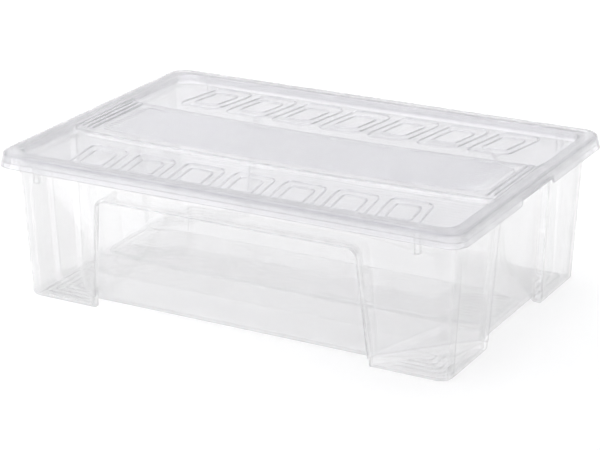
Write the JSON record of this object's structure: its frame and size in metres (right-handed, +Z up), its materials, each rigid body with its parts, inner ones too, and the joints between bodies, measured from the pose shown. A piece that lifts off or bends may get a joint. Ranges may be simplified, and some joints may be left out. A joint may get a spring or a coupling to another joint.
{
  "type": "shoe box",
  "caption": "Clear plastic storage box for shoes: drafted tub on four corner feet with finger recesses, and a lift-off lid with a sunken tray and raised band.",
  "frame": {"origin": "middle of the footprint, on the surface that the feet stand on", "axes": "+X along the box's length, +Y along its width, +Z up"},
  "size_m": [0.3416, 0.2298, 0.1033],
  "materials": {
    "tub_plastic": "clear moulded polypropylene, glossy",
    "lid_plastic": "clear moulded polypropylene, glossy, with a finely ribbed band"
  },
  "bodies": {
    "tub": {"tub": "tub_plastic"},
    "lid": {"lid": "lid_plastic"}
  },
  "joints": [
    {"name": "lid_lift", "type": "slide", "parent": "tub", "child": "lid", "axis": [0, 0, 1], "range_m": [0, 0.12]}
  ]
}
